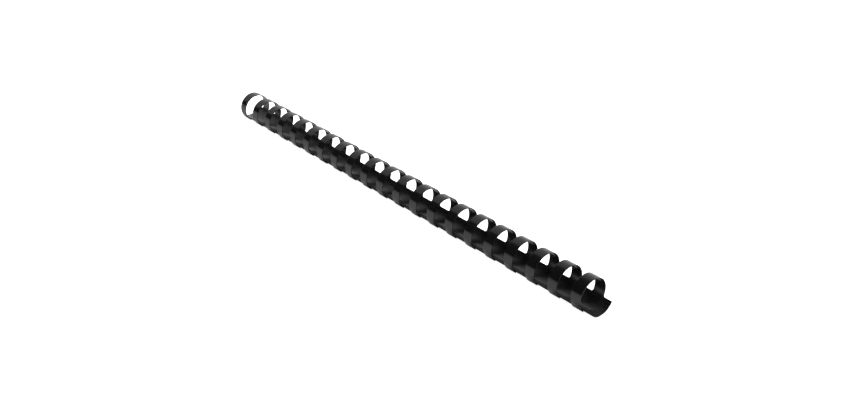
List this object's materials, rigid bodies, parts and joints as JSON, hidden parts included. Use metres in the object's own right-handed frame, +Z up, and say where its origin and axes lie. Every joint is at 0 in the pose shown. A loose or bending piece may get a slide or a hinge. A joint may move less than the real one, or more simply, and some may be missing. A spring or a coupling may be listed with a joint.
{
  "type": "plastic binding comb",
  "caption": "Curled plastic spine with a row of springy fingers that close into rings through punched sheets.",
  "frame": {"origin": "on the surface that the comb lies on, under the middle of the closed rings", "axes": "+X along the spine, +Y towards the edge that the fingers grow from, +Z up"},
  "size_m": [0.3024, 0.0178, 0.0176],
  "materials": {
    "black_pvc": "black PVC sheet, semi-gloss, with a very fine grain"
  },
  "bodies": {
    "spine": {"spine": "black_pvc"},
    "finger_01_arch": {"finger_01_arch": "black_pvc"},
    "finger_01_tip": {"finger_01_tip": "black_pvc"},
    "finger_02_arch": {"finger_02_arch": "black_pvc"},
    "finger_02_tip": {"finger_02_tip": "black_pvc"},
    "finger_03_arch": {"finger_03_arch": "black_pvc"},
    "finger_03_tip": {"finger_03_tip": "black_pvc"},
    "finger_04_arch": {"finger_04_arch": "black_pvc"},
    "finger_04_tip": {"finger_04_tip": "black_pvc"},
    "finger_05_arch": {"finger_05_arch": "black_pvc"},
    "finger_05_tip": {"finger_05_tip": "black_pvc"},
    "finger_06_arch": {"finger_06_arch": "black_pvc"},
    "finger_06_tip": {"finger_06_tip": "black_pvc"},
    "finger_07_arch": {"finger_07_arch": "black_pvc"},
    "finger_07_tip": {"finger_07_tip": "black_pvc"},
    "finger_08_arch": {"finger_08_arch": "black_pvc"},
    "finger_08_tip": {"finger_08_tip": "black_pvc"},
    "finger_09_arch": {"finger_09_arch": "black_pvc"},
    "finger_09_tip": {"finger_09_tip": "black_pvc"},
    "finger_10_arch": {"finger_10_arch": "black_pvc"},
    "finger_10_tip": {"finger_10_tip": "black_pvc"},
    "finger_11_arch": {"finger_11_arch": "black_pvc"},
    "finger_11_tip": {"finger_11_tip": "black_pvc"},
    "finger_12_arch": {"finger_12_arch": "black_pvc"},
    "finger_12_tip": {"finger_12_tip": "black_pvc"},
    "finger_13_arch": {"finger_13_arch": "black_pvc"},
    "finger_13_tip": {"finger_13_tip": "black_pvc"},
    "finger_14_arch": {"finger_14_arch": "black_pvc"},
    "finger_14_tip": {"finger_14_tip": "black_pvc"},
    "finger_15_arch": {"finger_15_arch": "black_pvc"},
    "finger_15_tip": {"finger_15_tip": "black_pvc"},
    "finger_16_arch": {"finger_16_arch": "black_pvc"},
    "finger_16_tip": {"finger_16_tip": "black_pvc"},
    "finger_17_arch": {"finger_17_arch": "black_pvc"},
    "finger_17_tip": {"finger_17_tip": "black_pvc"},
    "finger_18_arch": {"finger_18_arch": "black_pvc"},
    "finger_18_tip": {"finger_18_tip": "black_pvc"},
    "finger_19_arch": {"finger_19_arch": "black_pvc"},
    "finger_19_tip": {"finger_19_tip": "black_pvc"},
    "finger_20_arch": {"finger_20_arch": "black_pvc"},
    "finger_20_tip": {"finger_20_tip": "black_pvc"},
    "finger_21_arch": {"finger_21_arch": "black_pvc"},
    "finger_21_tip": {"finger_21_tip": "black_pvc"}
  },
  "joints": [
    {"name": "finger_01_root_flex", "type": "hinge", "parent": "spine", "child": "finger_01_arch", "pos_m": [-0.14288, 0.00841, 0.00559], "axis": [-1, 0, 0], "range_deg": [0, 30], "stiffness_Nm_per_rad": 0.0055},
    {"name": "finger_01_shoulder_flex", "type": "hinge", "parent": "finger_01_arch", "child": "finger_01_tip", "pos_m": [-0.14288, -0.00447, 0.01641], "axis": [-1, 0, 0], "range_deg": [0, 60], "stiffness_Nm_per_rad": 0.0055},
    {"name": "finger_02_root_flex", "type": "hinge", "parent": "spine", "child": "finger_02_arch", "pos_m": [-0.12859, 0.00841, 0.00559], "axis": [-1, 0, 0], "range_deg": [0, 30], "stiffness_Nm_per_rad": 0.0055},
    {"name": "finger_02_shoulder_flex", "type": "hinge", "parent": "finger_02_arch", "child": "finger_02_tip", "pos_m": [-0.12859, -0.00447, 0.01641], "axis": [-1, 0, 0], "range_deg": [0, 60], "stiffness_Nm_per_rad": 0.0055},
    {"name": "finger_03_root_flex", "type": "hinge", "parent": "spine", "child": "finger_03_arch", "pos_m": [-0.1143, 0.00841, 0.00559], "axis": [-1, 0, 0], "range_deg": [0, 30], "stiffness_Nm_per_rad": 0.0055},
    {"name": "finger_03_shoulder_flex", "type": "hinge", "parent": "finger_03_arch", "child": "finger_03_tip", "pos_m": [-0.1143, -0.00447, 0.01641], "axis": [-1, 0, 0], "range_deg": [0, 60], "stiffness_Nm_per_rad": 0.0055},
    {"name": "finger_04_root_flex", "type": "hinge", "parent": "spine", "child": "finger_04_arch", "pos_m": [-0.10001, 0.00841, 0.00559], "axis": [-1, 0, 0], "range_deg": [0, 30], "stiffness_Nm_per_rad": 0.0055},
    {"name": "finger_04_shoulder_flex", "type": "hinge", "parent": "finger_04_arch", "child": "finger_04_tip", "pos_m": [-0.10001, -0.00447, 0.01641], "axis": [-1, 0, 0], "range_deg": [0, 60], "stiffness_Nm_per_rad": 0.0055},
    {"name": "finger_05_root_flex", "type": "hinge", "parent": "spine", "child": "finger_05_arch", "pos_m": [-0.08572, 0.00841, 0.00559], "axis": [-1, 0, 0], "range_deg": [0, 30], "stiffness_Nm_per_rad": 0.0055},
    {"name": "finger_05_shoulder_flex", "type": "hinge", "parent": "finger_05_arch", "child": "finger_05_tip", "pos_m": [-0.08572, -0.00447, 0.01641], "axis": [-1, 0, 0], "range_deg": [0, 60], "stiffness_Nm_per_rad": 0.0055},
    {"name": "finger_06_root_flex", "type": "hinge", "parent": "spine", "child": "finger_06_arch", "pos_m": [-0.07144, 0.00841, 0.00559], "axis": [-1, 0, 0], "range_deg": [0, 30], "stiffness_Nm_per_rad": 0.0055},
    {"name": "finger_06_shoulder_flex", "type": "hinge", "parent": "finger_06_arch", "child": "finger_06_tip", "pos_m": [-0.07144, -0.00447, 0.01641], "axis": [-1, 0, 0], "range_deg": [0, 60], "stiffness_Nm_per_rad": 0.0055},
    {"name": "finger_07_root_flex", "type": "hinge", "parent": "spine", "child": "finger_07_arch", "pos_m": [-0.05715, 0.00841, 0.00559], "axis": [-1, 0, 0], "range_deg": [0, 30], "stiffness_Nm_per_rad": 0.0055},
    {"name": "finger_07_shoulder_flex", "type": "hinge", "parent": "finger_07_arch", "child": "finger_07_tip", "pos_m": [-0.05715, -0.00447, 0.01641], "axis": [-1, 0, 0], "range_deg": [0, 60], "stiffness_Nm_per_rad": 0.0055},
    {"name": "finger_08_root_flex", "type": "hinge", "parent": "spine", "child": "finger_08_arch", "pos_m": [-0.04286, 0.00841, 0.00559], "axis": [-1, 0, 0], "range_deg": [0, 30], "stiffness_Nm_per_rad": 0.0055},
    {"name": "finger_08_shoulder_flex", "type": "hinge", "parent": "finger_08_arch", "child": "finger_08_tip", "pos_m": [-0.04286, -0.00447, 0.01641], "axis": [-1, 0, 0], "range_deg": [0, 60], "stiffness_Nm_per_rad": 0.0055},
    {"name": "finger_09_root_flex", "type": "hinge", "parent": "spine", "child": "finger_09_arch", "pos_m": [-0.02857, 0.00841, 0.00559], "axis": [-1, 0, 0], "range_deg": [0, 30], "stiffness_Nm_per_rad": 0.0055},
    {"name": "finger_09_shoulder_flex", "type": "hinge", "parent": "finger_09_arch", "child": "finger_09_tip", "pos_m": [-0.02857, -0.00447, 0.01641], "axis": [-1, 0, 0], "range_deg": [0, 60], "stiffness_Nm_per_rad": 0.0055},
    {"name": "finger_10_root_flex", "type": "hinge", "parent": "spine", "child": "finger_10_arch", "pos_m": [-0.01429, 0.00841, 0.00559], "axis": [-1, 0, 0], "range_deg": [0, 30], "stiffness_Nm_per_rad": 0.0055},
    {"name": "finger_10_shoulder_flex", "type": "hinge", "parent": "finger_10_arch", "child": "finger_10_tip", "pos_m": [-0.01429, -0.00447, 0.01641], "axis": [-1, 0, 0], "range_deg": [0, 60], "stiffness_Nm_per_rad": 0.0055},
    {"name": "finger_11_root_flex", "type": "hinge", "parent": "spine", "child": "finger_11_arch", "pos_m": [0, 0.00841, 0.00559], "axis": [-1, 0, 0], "range_deg": [0, 30], "stiffness_Nm_per_rad": 0.0055},
    {"name": "finger_11_shoulder_flex", "type": "hinge", "parent": "finger_11_arch", "child": "finger_11_tip", "pos_m": [0, -0.00447, 0.01641], "axis": [-1, 0, 0], "range_deg": [0, 60], "stiffness_Nm_per_rad": 0.0055},
    {"name": "finger_12_root_flex", "type": "hinge", "parent": "spine", "child": "finger_12_arch", "pos_m": [0.01429, 0.00841, 0.00559], "axis": [-1, 0, 0], "range_deg": [0, 30], "stiffness_Nm_per_rad": 0.0055},
    {"name": "finger_12_shoulder_flex", "type": "hinge", "parent": "finger_12_arch", "child": "finger_12_tip", "pos_m": [0.01429, -0.00447, 0.01641], "axis": [-1, 0, 0], "range_deg": [0, 60], "stiffness_Nm_per_rad": 0.0055},
    {"name": "finger_13_root_flex", "type": "hinge", "parent": "spine", "child": "finger_13_arch", "pos_m": [0.02857, 0.00841, 0.00559], "axis": [-1, 0, 0], "range_deg": [0, 30], "stiffness_Nm_per_rad": 0.0055},
    {"name": "finger_13_shoulder_flex", "type": "hinge", "parent": "finger_13_arch", "child": "finger_13_tip", "pos_m": [0.02857, -0.00447, 0.01641], "axis": [-1, 0, 0], "range_deg": [0, 60], "stiffness_Nm_per_rad": 0.0055},
    {"name": "finger_14_root_flex", "type": "hinge", "parent": "spine", "child": "finger_14_arch", "pos_m": [0.04286, 0.00841, 0.00559], "axis": [-1, 0, 0], "range_deg": [0, 30], "stiffness_Nm_per_rad": 0.0055},
    {"name": "finger_14_shoulder_flex", "type": "hinge", "parent": "finger_14_arch", "child": "finger_14_tip", "pos_m": [0.04286, -0.00447, 0.01641], "axis": [-1, 0, 0], "range_deg": [0, 60], "stiffness_Nm_per_rad": 0.0055},
    {"name": "finger_15_root_flex", "type": "hinge", "parent": "spine", "child": "finger_15_arch", "pos_m": [0.05715, 0.00841, 0.00559], "axis": [-1, 0, 0], "range_deg": [0, 30], "stiffness_Nm_per_rad": 0.0055},
    {"name": "finger_15_shoulder_flex", "type": "hinge", "parent": "finger_15_arch", "child": "finger_15_tip", "pos_m": [0.05715, -0.00447, 0.01641], "axis": [-1, 0, 0], "range_deg": [0, 60], "stiffness_Nm_per_rad": 0.0055},
    {"name": "finger_16_root_flex", "type": "hinge", "parent": "spine", "child": "finger_16_arch", "pos_m": [0.07144, 0.00841, 0.00559], "axis": [-1, 0, 0], "range_deg": [0, 30], "stiffness_Nm_per_rad": 0.0055},
    {"name": "finger_16_shoulder_flex", "type": "hinge", "parent": "finger_16_arch", "child": "finger_16_tip", "pos_m": [0.07144, -0.00447, 0.01641], "axis": [-1, 0, 0], "range_deg": [0, 60], "stiffness_Nm_per_rad": 0.0055},
    {"name": "finger_17_root_flex", "type": "hinge", "parent": "spine", "child": "finger_17_arch", "pos_m": [0.08572, 0.00841, 0.00559], "axis": [-1, 0, 0], "range_deg": [0, 30], "stiffness_Nm_per_rad": 0.0055},
    {"name": "finger_17_shoulder_flex", "type": "hinge", "parent": "finger_17_arch", "child": "finger_17_tip", "pos_m": [0.08572, -0.00447, 0.01641], "axis": [-1, 0, 0], "range_deg": [0, 60], "stiffness_Nm_per_rad": 0.0055},
    {"name": "finger_18_root_flex", "type": "hinge", "parent": "spine", "child": "finger_18_arch", "pos_m": [0.10001, 0.00841, 0.00559], "axis": [-1, 0, 0], "range_deg": [0, 30], "stiffness_Nm_per_rad": 0.0055},
    {"name": "finger_18_shoulder_flex", "type": "hinge", "parent": "finger_18_arch", "child": "finger_18_tip", "pos_m": [0.10001, -0.00447, 0.01641], "axis": [-1, 0, 0], "range_deg": [0, 60], "stiffness_Nm_per_rad": 0.0055},
    {"name": "finger_19_root_flex", "type": "hinge", "parent": "spine", "child": "finger_19_arch", "pos_m": [0.1143, 0.00841, 0.00559], "axis": [-1, 0, 0], "range_deg": [0, 30], "stiffness_Nm_per_rad": 0.0055},
    {"name": "finger_19_shoulder_flex", "type": "hinge", "parent": "finger_19_arch", "child": "finger_19_tip", "pos_m": [0.1143, -0.00447, 0.01641], "axis": [-1, 0, 0], "range_deg": [0, 60], "stiffness_Nm_per_rad": 0.0055},
    {"name": "finger_20_root_flex", "type": "hinge", "parent": "spine", "child": "finger_20_arch", "pos_m": [0.12859, 0.00841, 0.00559], "axis": [-1, 0, 0], "range_deg": [0, 30], "stiffness_Nm_per_rad": 0.0055},
    {"name": "finger_20_shoulder_flex", "type": "hinge", "parent": "finger_20_arch", "child": "finger_20_tip", "pos_m": [0.12859, -0.00447, 0.01641], "axis": [-1, 0, 0], "range_deg": [0, 60], "stiffness_Nm_per_rad": 0.0055},
    {"name": "finger_21_root_flex", "type": "hinge", "parent": "spine", "child": "finger_21_arch", "pos_m": [0.14288, 0.00841, 0.00559], "axis": [-1, 0, 0], "range_deg": [0, 30], "stiffness_Nm_per_rad": 0.0055},
    {"name": "finger_21_shoulder_flex", "type": "hinge", "parent": "finger_21_arch", "child": "finger_21_tip", "pos_m": [0.14288, -0.00447, 0.01641], "axis": [-1, 0, 0], "range_deg": [0, 60], "stiffness_Nm_per_rad": 0.0055}
  ],
  "couplings": [
    {"joint": "finger_01_shoulder_flex", "follows": "finger_01_root_flex", "ratio": 2},
    {"joint": "finger_02_shoulder_flex", "follows": "finger_02_root_flex", "ratio": 2},
    {"joint": "finger_03_shoulder_flex", "follows": "finger_03_root_flex", "ratio": 2},
    {"joint": "finger_04_shoulder_flex", "follows": "finger_04_root_flex", "ratio": 2},
    {"joint": "finger_05_shoulder_flex", "follows": "finger_05_root_flex", "ratio": 2},
    {"joint": "finger_06_shoulder_flex", "follows": "finger_06_root_flex", "ratio": 2},
    {"joint": "finger_07_shoulder_flex", "follows": "finger_07_root_flex", "ratio": 2},
    {"joint": "finger_08_shoulder_flex", "follows": "finger_08_root_flex", "ratio": 2},
    {"joint": "finger_09_shoulder_flex", "follows": "finger_09_root_flex", "ratio": 2},
    {"joint": "finger_10_shoulder_flex", "follows": "finger_10_root_flex", "ratio": 2},
    {"joint": "finger_11_shoulder_flex", "follows": "finger_11_root_flex", "ratio": 2},
    {"joint": "finger_12_shoulder_flex", "follows": "finger_12_root_flex", "ratio": 2},
    {"joint": "finger_13_shoulder_flex", "follows": "finger_13_root_flex", "ratio": 2},
    {"joint": "finger_14_shoulder_flex", "follows": "finger_14_root_flex", "ratio": 2},
    {"joint": "finger_15_shoulder_flex", "follows": "finger_15_root_flex", "ratio": 2},
    {"joint": "finger_16_shoulder_flex", "follows": "finger_16_root_flex", "ratio": 2},
    {"joint": "finger_17_shoulder_flex", "follows": "finger_17_root_flex", "ratio": 2},
    {"joint": "finger_18_shoulder_flex", "follows": "finger_18_root_flex", "ratio": 2},
    {"joint": "finger_19_shoulder_flex", "follows": "finger_19_root_flex", "ratio": 2},
    {"joint": "finger_20_shoulder_flex", "follows": "finger_20_root_flex", "ratio": 2},
    {"joint": "finger_21_shoulder_flex", "follows": "finger_21_root_flex", "ratio": 2}
  ]
}
